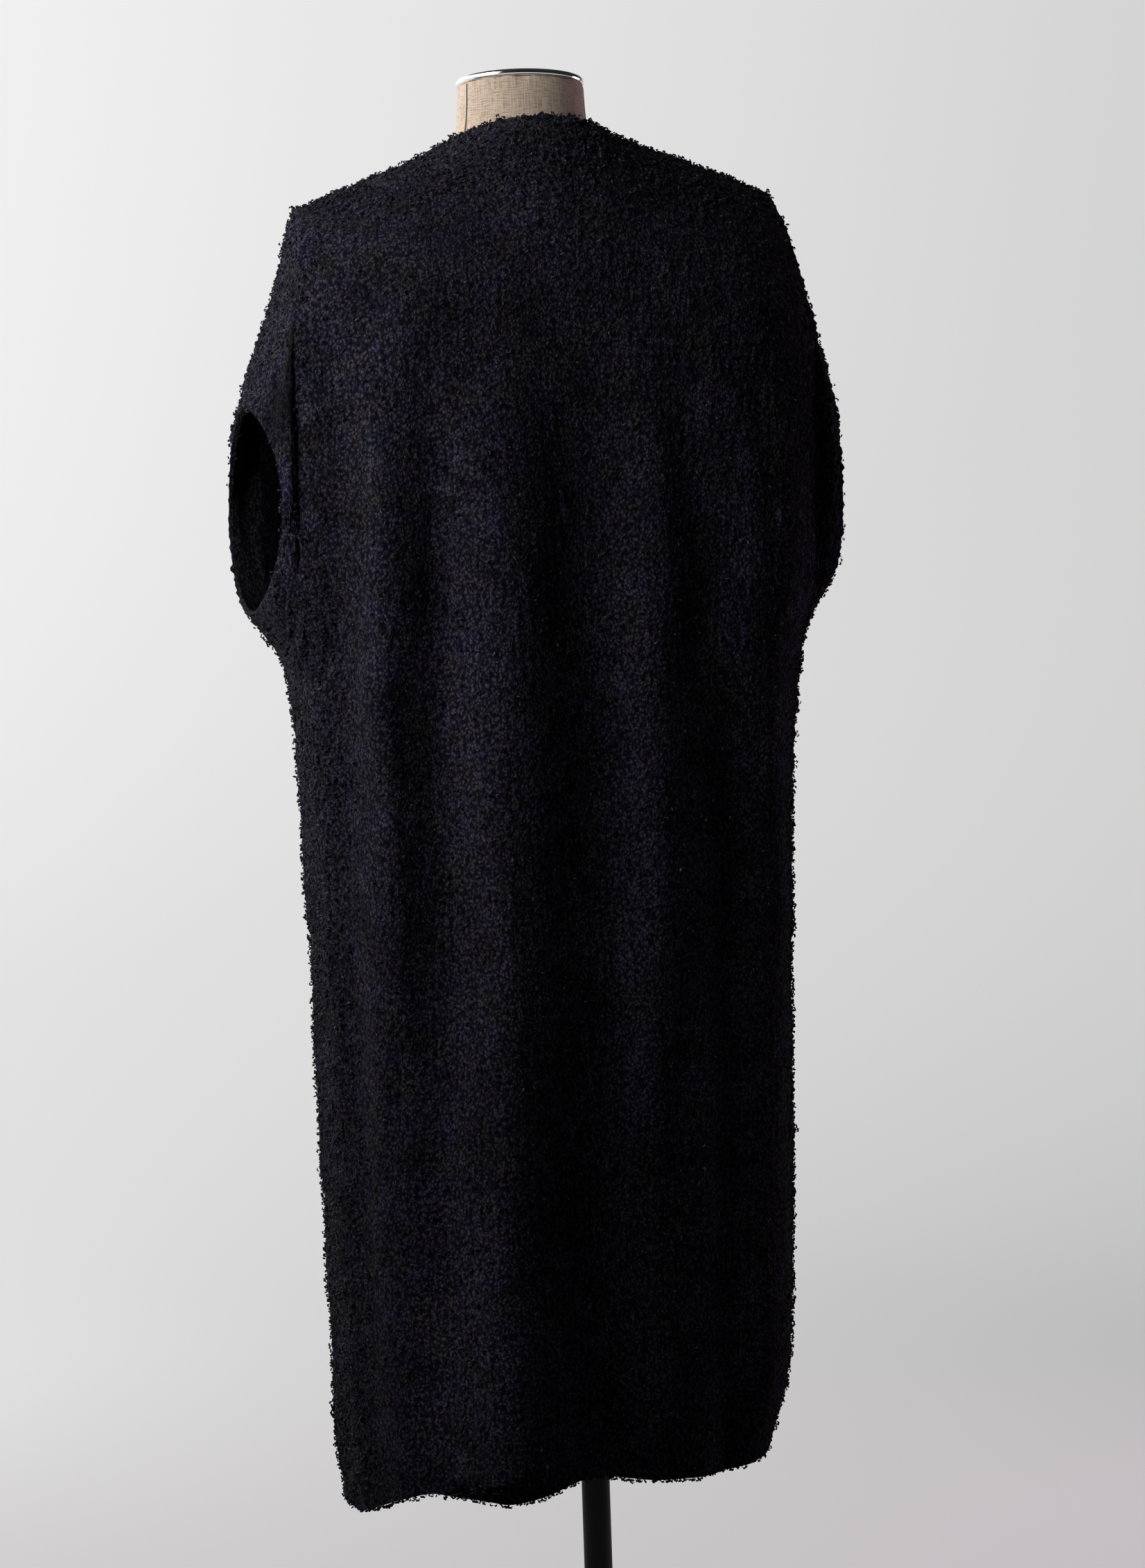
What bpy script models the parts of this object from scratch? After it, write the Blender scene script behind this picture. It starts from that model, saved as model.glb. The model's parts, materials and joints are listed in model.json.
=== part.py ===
"""A long, open-front, short-sleeve cardigan in boucle knit, worn by a dress form on a round-footed stand.

Metres, +Z up. The origin is on the floor under the pole, the front faces -Y and the wearer's left is +X.
The cloth is a hollow wall in five pieces: the back, two fronts and two sleeves. Each piece is a grid of
outer points, and the same points moved in by the cloth's thickness. Neighbours share the points of their
seam line, and each stops half a seam gap short of it.
"""

import math

import bmesh
import bpy
import numpy as np

# ---- cloth ----
KNIT_THICKNESS = 0.004
SEAM_PULL = 0.00015  # each edge stops this far short of its seam line
ARMHOLE_PULL = 0.0009  # a sleeve's edge stops further back, because the walls meet at an angle there
UNDERARM_HEIGHT = 1.024
NECK_POINT = 0.064  # half the back neck's width, where the shoulder seam starts
SHOULDER_HEIGHT = 1.500
SHOULDER_TIP = 0.219  # from the garment's middle to the end of the shoulder seam
SHOULDER_ROUNDING = 0.150  # the stretch of back or chest that rounds over into the shoulder seam
DRAW_IN_POWER = 1.5  # how early the columns draw together towards the shoulder seam
ARMHOLE_HALF_DEPTH = 0.080
ARMHOLE_RISE = 0.170  # above the underarm, the armhole reaches its full depth over this height
ARMHOLE_POWER = 2.0  # the curve of its lower end: 2 is an ellipse, more is squarer
GARMENT_X = 0.012  # the torso and the garment sit this far to the wearer's left of the pole
SEAM_Y = -0.030  # side seams and shoulder seams lie in this plane

# ---- grid ----
ROWS_BELOW = 17  # hem to underarm
ROWS_ABOVE = 6  # underarm to where the shoulder starts to round over
ROWS_OVER = 7  # over the shoulder to its seam or the neckline
NECK_COLUMNS = 5  # middle of the back to the neck point
SHOULDER_COLUMNS = 15  # neck point to side seam, on the back and on each front
SLEEVE_RINGS = 5
SECTION_SAMPLES = 120

# Half widths of the body tube to each side of the garment's middle, and how far the back and the front lie
# from the plane of the seams. Where the armhole opens, the tube is cut off at the armhole's edge. power is
# the section's shape: 2 is an ellipse, more is squarer.
BODY = {
    "height": [0.30, 0.33, 0.36, 0.40, 0.45, 0.55, 0.75, 0.95, 1.03, 1.12, 1.23, 1.34, 1.41, 1.46],
    "left": [0.196, 0.200, 0.203, 0.206, 0.206, 0.210, 0.215, 0.222, 0.229, 0.248, 0.253, 0.250, 0.243,
             0.232],
    "right": [0.162, 0.175, 0.188, 0.199, 0.203, 0.207, 0.214, 0.220, 0.227, 0.243, 0.249, 0.249, 0.242,
              0.232],
    "back": [0.138, 0.137, 0.136, 0.135, 0.134, 0.133, 0.132, 0.131, 0.131, 0.131, 0.130, 0.127, 0.123,
             0.121],
    "front": [0.130, 0.130, 0.130, 0.130, 0.130, 0.130, 0.130, 0.131, 0.133, 0.135, 0.136, 0.126, 0.112,
              0.104],
    "power": [2.5, 2.5, 2.5, 2.5, 2.5, 2.5, 2.5, 2.5, 2.6, 3.3, 3.5, 3.5, 3.4, 3.2],
}

# The ridge over the shoulders to each side of the middle: inside the neck point it is cut away by the
# neckline, outside it is the shoulder seam.
RIDGE = {
    "x": [0.000, 0.032, 0.052, 0.064, 0.107, 0.160, 0.195, 0.219],
    "left": [1.5440, 1.5360, 1.5250, 1.5155, 1.4920, 1.4680, 1.4580, 1.4530],
    "right": [1.5440, 1.5360, 1.5260, 1.5185, 1.5040, 1.4870, 1.4780, 1.4720],
}
NECK_Y = -0.035
NECKLINE_RADIUS = 0.0655

# The hem's height round the body: 0 is the middle of the back, 1 and -1 the side seams, and 2 and -2 the
# front edges.
HEM = {
    "round": [-2.0, -1.4, -1.0, -0.85, -0.61, -0.39, -0.15, 0.08, 0.16, 0.26, 0.34, 0.46, 0.58, 0.70, 0.85,
              1.0, 1.4, 2.0],
    "height": [0.342, 0.345, 0.343, 0.338, 0.329, 0.327, 0.331, 0.343, 0.337, 0.323, 0.317, 0.324, 0.334,
               0.325, 0.312, 0.305, 0.312, 0.324],
}

# Each front's free edge, measured from the garment's middle.
FRONT_EDGE = {
    "height": [0.300, 0.800, 1.150, 1.350, 1.440, 1.517],
    "x": [0.034, 0.040, 0.046, 0.056, 0.063, 0.064],
}

# Hanging folds: a depth above 0 is a ridge and below 0 a trough. Each grows in below its start height.
# place is measured round the cloth from the middle of the back or front, positive to the wearer's left.
BACK_FOLDS = {
    "place": [0.252, 0.222, 0.180, 0.129, 0.092, 0.068, -0.018, -0.080, -0.132, -0.178, -0.226],
    "width": [0.014, 0.014, 0.022, 0.024, 0.020, 0.034, 0.038, 0.040, 0.030, 0.026, 0.020],
    "start": [1.200, 1.220, 1.320, 1.320, 1.020, 1.340, 1.340, 1.340, 1.320, 1.280, 1.160],
    "at_underarm": [0.003, -0.006, 0.013, -0.014, 0.000, 0.013, -0.013, 0.004, -0.008, 0.006, -0.004],
    "at_hem": [0.002, -0.003, 0.004, -0.005, 0.007, 0.015, -0.011, -0.016, -0.020, -0.005, -0.004],
}
FRONT_FOLDS = {
    "place": [0.228, 0.168, 0.112, 0.072, -0.076, -0.124, -0.178, -0.230],
    "width": [0.026, 0.028, 0.026, 0.022, 0.024, 0.028, 0.026, 0.024],
    "start": [1.180, 1.200, 1.230, 1.180, 1.190, 1.240, 1.200, 1.170],
    "at_underarm": [0.004, -0.009, 0.009, -0.004, -0.005, 0.008, -0.009, 0.005],
    "at_hem": [0.007, -0.019, 0.018, -0.007, -0.009, 0.019, -0.017, 0.006],
}
FOLD_GROWTH = 0.170  # the height over which a fold grows to its depth
SEAM_CALM = 0.034  # folds die out this near a side seam

# Sleeves: each starts at the edge of its armhole and ends in an upright oval cuff, open outwards.
CUFF = {
    "side": [1, -1],
    "x": [0.267, 0.265],
    "top": [1.272, 1.286],
    "bottom": [1.090, 1.108],
    "half_depth": [0.076, 0.072],
    "back_set_in": [0.017, 0.004],  # how much nearer the body the cuff hangs at its back
    "front_set_in": [-0.002, 0.006],
    "over_arm_sag": [0.010, 0.003],  # the line from the shoulder tip to the cuff hangs in by this
}
SLEEVE_PUFF = 0.008  # the sleeve's back and front stand out by this between armhole and cuff
FULL_PUFF_LENGTH = 0.050  # shorter stretches of sleeve stand out less

# ---- torso and stand ----
# Half widths from the torso's middle, and the places of its back and front along Y.
TORSO = {
    "height": [0.846, 0.852, 0.875, 0.930, 1.000, 1.060, 1.115, 1.170, 1.225, 1.270, 1.315, 1.355, 1.385,
               1.410, 1.430, 1.449, 1.4666, 1.4858, 1.504, 1.516, 1.560],
    "half": [0.120, 0.140, 0.156, 0.165, 0.152, 0.130, 0.117, 0.124, 0.138, 0.148, 0.160, 0.174, 0.184,
             0.190, 0.190, 0.185, 0.149, 0.107, 0.0672, 0.055, 0.054],
    "back": [0.030, 0.046, 0.058, 0.062, 0.058, 0.048, 0.042, 0.048, 0.058, 0.066, 0.074, 0.076, 0.072,
             0.064, 0.050, 0.033, 0.025, 0.021, 0.020, 0.0195, 0.019],
    "front": [-0.072, -0.088, -0.100, -0.108, -0.104, -0.094, -0.088, -0.098, -0.124, -0.142, -0.132,
              -0.114, -0.101, -0.093, -0.087, -0.083, -0.080, -0.082, -0.088, -0.0895, -0.089],
}
TORSO_SIDES = 32
TORSO_POWER = 2.2
NECK_TOP = 1.560
CAP_RADIUS = 0.0555
CAP_HEIGHT = 0.0060
CAP_ROUNDING = 0.0020
POLE_RADIUS = 0.0125
SOCKET_RADIUS = 0.030
SOCKET_HEIGHT = 0.034
BASE_RADIUS = 0.185
BASE_THICKNESS = 0.010
COLLAR_RADIUS = 0.027
COLLAR_HEIGHT = 0.045
EDGE_ROUNDING = 0.003
ROUND_SIDES = 40
POLE_SIDES = 24
ROUNDING_STEPS = 3
SHARP_ANGLE = 40  # degrees: flatter edges are shaded smooth
SMALL_GAP = 0.0003

# ---- finishes: colour, roughness, metallic ----
FINISHES = {
    "boucle": ((0.012, 0.012, 0.018, 1.0), 0.95, 0.0),
    "linen": ((0.46, 0.40, 0.32, 1.0), 0.90, 0.0),
    "chrome": ((0.80, 0.80, 0.82, 1.0), 0.12, 1.0),
    "black_steel": ((0.020, 0.020, 0.022, 1.0), 0.45, 0.6),
}


def read_table(table, column, key_column, key):
    """A column's value at a key, on straight lines between the table's rows."""
    return float(np.interp(key, table[key_column], table[column]))


def ease(share):
    """0 to 1 with a soft start and a soft end."""
    share = np.clip(share, 0.0, 1.0)
    return share * share * (3 - 2 * share)


# ---- the body's surface ----
def side_name(side):
    return "left" if side > 0 else "right"


def ridge_height(side, x):
    return read_table(RIDGE, side_name(side), "x", x)


def last_turn(face, top_x):
    """How far a column turns over the shoulder: a quarter turn, and less where the neckline cuts it."""
    if face == "front" or top_x >= NECK_POINT:
        return math.pi / 2
    neckline = NECK_Y - SEAM_Y + math.sqrt(NECKLINE_RADIUS**2 - top_x * top_x)
    return math.acos(neckline / read_table(BODY, "back", "height", SHOULDER_HEIGHT))


def armhole_depth(height):
    rise = min(max((height - UNDERARM_HEIGHT) / ARMHOLE_RISE, 0.0), 1.0)
    return ARMHOLE_HALF_DEPTH * (1 - (1 - rise) ** ARMHOLE_POWER) ** (1 / ARMHOLE_POWER)


def quarter_section(height, face, side):
    """Samples of one quarter of the tube, from the middle to the side seam or the armhole: x, y and run."""
    half = read_table(BODY, side_name(side), "height", height)
    depth = read_table(BODY, face, "height", height)
    power = read_table(BODY, "power", "height", height)
    cut = armhole_depth(height) / depth
    turn = np.linspace(0.0, math.acos(cut ** (power / 2)), SECTION_SAMPLES)
    x = half * np.sin(turn) ** (2 / power)
    y = depth * np.cos(turn) ** (2 / power)
    run = np.concatenate([[0.0], np.cumsum(np.hypot(np.diff(x), np.diff(y)))])
    return x, y, run


def fold_depth(face, place, height):
    """How far the cloth stands out at one place because of its hanging folds."""
    folds = BACK_FOLDS if face == "back" else FRONT_FOLDS
    down = min(max((UNDERARM_HEIGHT - height) / (UNDERARM_HEIGHT - HEM["height"][0]), 0.0), 1.0)
    total = 0.0
    for middle, width, start, upper, lower in zip(*folds.values()):
        grown = float(ease((start - height) / FOLD_GROWTH))
        across = (place - middle) / width
        total += grown * (upper + (lower - upper) * down) * math.exp(-across * across)
    return total


def body_point(face, side, share, height, turn, end_turn):
    """One outer point. share is 0 at the middle of the back (or at a front's free edge) and 1 at the side.

    turn is how far the cloth has turned over the shoulder here, and end_turn how far by the top edge.
    """
    x, y, run = quarter_section(height, face, side)
    start = 0.0
    if face == "front":
        start = float(np.interp(read_table(FRONT_EDGE, "x", "height", height), x, run))
    at = start + share * (run[-1] - start)
    slope_x = np.gradient(x, run)
    slope_y = np.gradient(y, run)
    here_x = float(np.interp(at, run, x))
    here_y = float(np.interp(at, run, y))
    calm = float(ease((run[-1] - at) / SEAM_CALM))
    out = fold_depth(face, side * at, height) * calm
    here_x -= out * float(np.interp(at, run, slope_y))
    here_y += out * float(np.interp(at, run, slope_x))
    # Over the shoulder the section closes to the ridge, and its columns draw together to their places.
    still_open = (math.cos(turn) - math.cos(end_turn)) / (1 - math.cos(end_turn))
    top_x = column_top(face, share)
    here_x = top_x + (here_x - top_x) * max(still_open, 0.0) ** DRAW_IN_POWER
    toward = 1 if face == "back" else -1
    return (GARMENT_X + side * here_x, SEAM_Y + toward * here_y * math.cos(turn), height)


def column_top(face, share):
    """Where a column ends on the ridge, from the garment's middle."""
    if face == "back":
        return share * SHOULDER_TIP
    return NECK_POINT + share * (SHOULDER_TIP - NECK_POINT)


def body_column(face, side, share):
    """The outer points of one column, from hem to top edge."""
    top_x = column_top(face, share)
    end_turn = last_turn(face, top_x)
    round_start = ridge_height(side, top_x) - SHOULDER_ROUNDING
    round_place = side * (share if face == "back" else 2 - share)
    hem = read_table(HEM, "height", "round", round_place)
    steps = []
    for row in range(ROWS_BELOW):
        steps.append((hem + (UNDERARM_HEIGHT - hem) * row / ROWS_BELOW, 0.0))
    for row in range(ROWS_ABOVE):
        steps.append((UNDERARM_HEIGHT + (round_start - UNDERARM_HEIGHT) * row / ROWS_ABOVE, 0.0))
    for row in range(ROWS_OVER + 1):
        turn = end_turn * row / ROWS_OVER
        steps.append((round_start + SHOULDER_ROUNDING * math.sin(turn), turn))
    return [body_point(face, side, share, height, turn, end_turn) for height, turn in steps]


def shoulder_shares():
    """Column shares of the back from the neck point to the side."""
    first = NECK_POINT / SHOULDER_TIP
    return [first + (1 - first) * column / SHOULDER_COLUMNS for column in range(SHOULDER_COLUMNS + 1)]


def back_grid():
    """Outer points of the back, column by column from the wearer's right to the left."""
    neck = [column * (NECK_POINT / SHOULDER_TIP) / NECK_COLUMNS for column in range(NECK_COLUMNS)]
    shares = neck + shoulder_shares()
    right = [body_column("back", -1, share) for share in reversed(shares[1:])]
    left = [body_column("back", 1, share) for share in shares]
    return np.array(right + left)


def front_grid(side):
    """Outer points of one front, column by column from the free edge to the side."""
    shares = [column / SHOULDER_COLUMNS for column in range(SHOULDER_COLUMNS + 1)]
    return np.array([body_column("front", side, share) for share in shares])


# ---- sleeves ----
def armhole_ring(back, front, side):
    """The armhole's edge, from the underarm up the back to the shoulder tip and down the front."""
    back_edge = back[-1 if side > 0 else 0][ROWS_BELOW:]
    front_edge = front[-1][ROWS_BELOW:]
    return np.concatenate([back_edge, front_edge[-2:0:-1]])


def cuff_ring(ring, side):
    """The cuff's oval, with one point for each point of the armhole."""
    row = CUFF["side"].index(side)
    top_index = len(ring) // 2
    middle_z = (CUFF["top"][row] + CUFF["bottom"][row]) / 2
    half_height = (CUFF["top"][row] - CUFF["bottom"][row]) / 2
    closed = np.concatenate([ring, ring[:1]])
    steps = np.linalg.norm(np.diff(closed, axis=0), axis=1)
    run = np.concatenate([[0.0], np.cumsum(steps)])
    points = []
    for index in range(len(ring)):
        if index <= top_index:
            turn = math.pi * run[index] / run[top_index]
        else:
            turn = math.pi + math.pi * (run[index] - run[top_index]) / (run[-1] - run[top_index])
        set_in = CUFF["back_set_in"][row] if turn < math.pi else CUFF["front_set_in"][row]
        x = CUFF["x"][row] - set_in * math.sin(turn) ** 2
        y = SEAM_Y + CUFF["half_depth"][row] * math.sin(turn)
        points.append((GARMENT_X + side * x, y, middle_z - half_height * math.cos(turn)))
    return np.array(points)


def sleeve_grid(back, front, side):
    """Outer points of one sleeve, ring by ring from the armhole to the cuff."""
    start = armhole_ring(back, front, side)
    end = cuff_ring(start, side)
    sag = CUFF["over_arm_sag"][CUFF["side"].index(side)]
    puff = SLEEVE_PUFF * np.minimum(1.0, np.linalg.norm(end - start, axis=1) / FULL_PUFF_LENGTH)
    rings = []
    for ring in range(SLEEVE_RINGS + 1):
        share = ring / SLEEVE_RINGS
        points = start + (end - start) * share
        belly = math.sin(math.pi * share)
        middle_z = points[:, 2].mean()
        for point, stands_out in zip(points, puff):
            across = (point[1] - SEAM_Y) / ARMHOLE_HALF_DEPTH
            point[1] += stands_out * belly * max(-1.0, min(1.0, across))
            if point[2] > middle_z:
                point[0] -= side * sag * belly * (1 - min(1.0, abs(across)))
        rings.append(points)
    return np.array(rings)


# ---- making solids ----
def add_material(piece, finish):
    colour, roughness, metallic = FINISHES[finish]
    material = bpy.data.materials.get(finish) or bpy.data.materials.new(finish)
    material.use_nodes = True
    shader = material.node_tree.nodes["Principled BSDF"]
    shader.inputs["Base Color"].default_value = colour
    shader.inputs["Roughness"].default_value = roughness
    shader.inputs["Metallic"].default_value = metallic
    material.diffuse_color = colour
    piece.data.materials.append(material)


def add_piece(name, points, faces, finish):
    mesh = bpy.data.meshes.new(name)
    mesh.from_pydata([tuple(point) for point in points], [], faces)
    mesh.shade_smooth()
    mesh.set_sharp_from_angle(angle=math.radians(SHARP_ANGLE))
    piece = bpy.data.objects.new(name, mesh)
    bpy.context.scene.collection.objects.link(piece)
    add_material(piece, finish)
    return piece


def grid_normals(grid, wraps):
    """Outward unit normals of a grid whose first index runs round the body, its second along it."""
    if wraps:
        wide = np.concatenate([grid[-1:], grid, grid[:1]])
        across = np.gradient(wide, axis=0)[1:-1]
    else:
        across = np.gradient(grid, axis=0)
    along = np.gradient(grid, axis=1)
    normals = np.cross(across, along)
    return normals / np.linalg.norm(normals, axis=2, keepdims=True)


def pull_back_edges(grid, columns, rows, pull):
    """Moves the seam edges of a grid back into the piece: columns and rows list their indices."""
    pulled = grid.copy()
    for index in columns:
        inward = 1 if index == 0 else -2
        step = grid[inward] - grid[index]
        pulled[index] = grid[index] + step / np.linalg.norm(step, axis=1, keepdims=True) * pull
    for index in rows:
        inward = 1 if index == 0 else -2
        step = pulled[:, inward] - pulled[:, index]
        pulled[:, index] += step / np.linalg.norm(step, axis=1, keepdims=True) * pull
    return pulled


def share_normals(grids, normals):
    """Gives points that several pieces share one direction, so their walls meet face to face at seams."""
    sums = {}
    for name, grid in grids.items():
        for point, normal in zip(grid.reshape(-1, 3), normals[name].reshape(-1, 3)):
            key = tuple(np.round(point, 5))
            sums[key] = sums.get(key, 0) + normal
    for name, grid in grids.items():
        shared = [sums[tuple(np.round(point, 5))] for point in grid.reshape(-1, 3)]
        shared = np.array(shared).reshape(grid.shape)
        normals[name] = shared / np.linalg.norm(shared, axis=2, keepdims=True)


def wall(name, grid, normals, outward, wraps, finish):
    """A closed wall: the grid's outer points and the same points moved in by the cloth's thickness."""
    columns, rows = grid.shape[:2]
    inner = grid - normals * KNIT_THICKNESS
    points = np.concatenate([grid.reshape(-1, 3), inner.reshape(-1, 3)])
    shift = columns * rows

    def number(column, row, layer):
        return (column % columns) * rows + row + layer * shift

    faces = []
    last_column = columns if wraps else columns - 1
    for column in range(last_column):
        for row in range(rows - 1):
            corners = [(column, row), (column + 1, row), (column + 1, row + 1), (column, row + 1)]
            faces.append([number(a, b, 0) for a, b in corners])
            faces.append([number(a, b, 1) for a, b in reversed(corners)])
    for column in range(last_column):
        faces.append([number(column, 0, 1), number(column + 1, 0, 1), number(column + 1, 0, 0),
                      number(column, 0, 0)])
        faces.append([number(column, rows - 1, 0), number(column + 1, rows - 1, 0),
                      number(column + 1, rows - 1, 1), number(column, rows - 1, 1)])
    if not wraps:
        for row in range(rows - 1):
            faces.append([number(0, row, 0), number(0, row + 1, 0), number(0, row + 1, 1),
                          number(0, row, 1)])
            end = columns - 1
            faces.append([number(end, row, 1), number(end, row + 1, 1), number(end, row + 1, 0),
                          number(end, row, 0)])
    if outward < 0:
        faces = [list(reversed(face)) for face in faces]
    piece = add_piece(name, points, faces, finish)
    split_to_triangles(piece)
    return piece


def split_to_triangles(piece):
    model = bmesh.new()
    model.from_mesh(piece.data)
    bmesh.ops.triangulate(model, faces=model.faces, quad_method="SHORT_EDGE")
    model.to_mesh(piece.data)
    model.free()


def lathe(name, outline, centre, finish, sides=ROUND_SIDES):
    """A turned solid from its outline of (radius, height), bottom to top, closed by flat ends."""
    points = []
    for radius, height in outline:
        for side in range(sides):
            turn = 2 * math.pi * side / sides
            x = centre[0] + radius * math.cos(turn)
            points.append((x, centre[1] + radius * math.sin(turn), height))
    return ringed_solid(name, points, len(outline), sides, finish)


def ringed_solid(name, points, rings, sides, finish):
    faces = [list(reversed(range(sides)))]
    for ring in range(rings - 1):
        for side in range(sides):
            following = (side + 1) % sides
            below = ring * sides
            above = below + sides
            faces.append([below + side, below + following, above + following, above + side])
    faces.append(list(range((rings - 1) * sides, rings * sides)))
    return add_piece(name, points, faces, finish)


def rounded_disc(radius, bottom, top, rounding):
    """The outline of a disc whose upper and lower edges are rounded over."""
    flat = radius - rounding
    turns = [math.pi / 2 * step / ROUNDING_STEPS for step in range(ROUNDING_STEPS + 1)]
    lower = [(flat + rounding * math.sin(turn), bottom + rounding * (1 - math.cos(turn))) for turn in turns]
    upper = [(flat + rounding * math.cos(turn), top - rounding * (1 - math.sin(turn))) for turn in turns]
    return lower + upper


# ---- the pieces ----
def make_garment():
    back = back_grid()
    grids = {"back_panel": back}
    for side, name in ((1, "left"), (-1, "right")):
        front = front_grid(side)
        grids[f"{name}_front"] = front
        grids[f"{name}_sleeve"] = np.transpose(sleeve_grid(back, front, side), (1, 0, 2))
    top = back.shape[1] - 1
    seam_columns = {"back_panel": [0, back.shape[0] - 1], "left_front": [SHOULDER_COLUMNS],
                    "right_front": [SHOULDER_COLUMNS], "left_sleeve": [], "right_sleeve": []}
    outward = {"back_panel": -1, "left_front": 1, "right_front": -1, "left_sleeve": 1,
               "right_sleeve": -1}
    normals = {}
    for name, grid in grids.items():
        normals[name] = grid_normals(grid, name.endswith("sleeve")) * outward[name]
    share_normals(grids, normals)
    for name, grid in grids.items():
        is_sleeve = name.endswith("sleeve")
        pull = ARMHOLE_PULL if is_sleeve else SEAM_PULL
        grid = pull_back_edges(grid, seam_columns[name], [0 if is_sleeve else top], pull)
        wall(name, grid, normals[name], outward[name], is_sleeve, "boucle")


def make_torso():
    points = []
    for height, half, back, front in zip(*TORSO.values()):
        middle = (back + front) / 2
        deep = (back - front) / 2
        for side in range(TORSO_SIDES):
            turn = 2 * math.pi * side / TORSO_SIDES
            x = half * math.copysign(abs(math.cos(turn)) ** (2 / TORSO_POWER), math.cos(turn))
            y = deep * math.copysign(abs(math.sin(turn)) ** (2 / TORSO_POWER), math.sin(turn))
            points.append((GARMENT_X + x, middle + y, height))
    ringed_solid("torso", points, len(TORSO["height"]), TORSO_SIDES, "linen")


def make_stand():
    neck_centre = (GARMENT_X, NECK_Y)
    cap_bottom = NECK_TOP + SMALL_GAP
    cap_outline = rounded_disc(CAP_RADIUS, cap_bottom, cap_bottom + CAP_HEIGHT, CAP_ROUNDING)
    lathe("neck_cap", cap_outline, neck_centre, "chrome")
    socket_top = TORSO["height"][0] - SMALL_GAP
    socket_bottom = socket_top - SOCKET_HEIGHT
    collar_bottom = BASE_THICKNESS + SMALL_GAP
    collar_top = collar_bottom + COLLAR_HEIGHT
    pole_outline = [(POLE_RADIUS, collar_top + SMALL_GAP), (POLE_RADIUS, socket_bottom - SMALL_GAP)]
    lathe("pole", pole_outline, (0, 0), "black_steel", POLE_SIDES)
    for name, radius, bottom, top in (
        ("pole_socket", SOCKET_RADIUS, socket_bottom, socket_top),
        ("pole_collar", COLLAR_RADIUS, collar_bottom, collar_top),
        ("base_plate", BASE_RADIUS, 0.0, BASE_THICKNESS),
    ):
        lathe(name, rounded_disc(radius, bottom, top, EDGE_ROUNDING), (0, 0), "black_steel")


for old in list(bpy.data.objects):
    bpy.data.objects.remove(old)
make_garment()
make_torso()
make_stand()
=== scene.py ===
# Long short-sleeve cardigan in boucle knit on a dress form: looks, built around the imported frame.
import json
import math

import bpy
import numpy as np
from mathutils import Matrix, Vector, kdtree, noise

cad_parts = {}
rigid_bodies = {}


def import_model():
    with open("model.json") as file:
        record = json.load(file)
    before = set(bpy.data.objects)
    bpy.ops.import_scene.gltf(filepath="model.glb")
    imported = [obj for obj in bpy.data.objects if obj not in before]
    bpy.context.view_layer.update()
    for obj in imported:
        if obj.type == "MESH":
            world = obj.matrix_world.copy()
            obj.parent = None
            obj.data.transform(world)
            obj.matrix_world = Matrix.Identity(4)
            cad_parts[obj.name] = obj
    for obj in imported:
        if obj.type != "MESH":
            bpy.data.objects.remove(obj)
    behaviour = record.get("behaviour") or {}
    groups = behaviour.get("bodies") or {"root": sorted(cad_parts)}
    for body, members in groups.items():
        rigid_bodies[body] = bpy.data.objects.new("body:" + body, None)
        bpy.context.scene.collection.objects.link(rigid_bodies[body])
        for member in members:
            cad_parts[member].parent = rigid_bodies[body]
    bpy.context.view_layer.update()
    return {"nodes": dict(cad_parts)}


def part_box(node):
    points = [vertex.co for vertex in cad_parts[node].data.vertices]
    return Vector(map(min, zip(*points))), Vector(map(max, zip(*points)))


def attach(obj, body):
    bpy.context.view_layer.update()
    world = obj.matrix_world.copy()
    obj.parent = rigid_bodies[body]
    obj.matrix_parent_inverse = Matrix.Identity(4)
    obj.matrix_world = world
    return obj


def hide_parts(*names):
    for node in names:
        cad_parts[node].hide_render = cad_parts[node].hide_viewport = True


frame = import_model()

garment = {  # metres
    "middleX": 0.012,
    "seamY": -0.030,
    "halfWidth": 0.215,
    "halfDepth": 0.132,
    "squareness": 2.5,  # of its section: 2 is an ellipse
    "shoulderTurn": 0.150,  # the cloth rounds over the shoulder in this height
    "shoulderRadius": 0.137,
    "ridgeAtNeck": 1.544,
    "ridgeFall": 0.43,  # how steeply the shoulder ridge falls, metre per metre
    "coreHalfWidth": 0.13,  # outwards is away from a flat core in the plane of the seams
    "coreTop": 1.385,
    "sleeveCore": (1.150, 1.300),  # and in a sleeve away from this upright stretch of its middle
}


# ---- small helpers ----
def clearSelection():
    if bpy.context.object and bpy.context.object.mode != "OBJECT":
        bpy.ops.object.mode_set(mode="OBJECT")
    bpy.ops.object.select_all(action="DESELECT")


def pick(piece):
    clearSelection()
    piece.select_set(True)
    bpy.context.view_layer.objects.active = piece


def copyOfNode(nodeName, name):
    piece = bpy.data.objects.new(name, frame["nodes"][nodeName].data.copy())
    bpy.context.scene.collection.objects.link(piece)
    piece.data.name = name
    piece.data.materials.clear()
    pick(piece)
    bpy.ops.object.mode_set(mode="EDIT")
    bpy.ops.mesh.select_all(action="SELECT")
    bpy.ops.mesh.remove_doubles(threshold=0.00001)
    bpy.ops.mesh.customdata_custom_splitnormals_clear()
    bpy.ops.object.mode_set(mode="OBJECT")
    return piece


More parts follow.
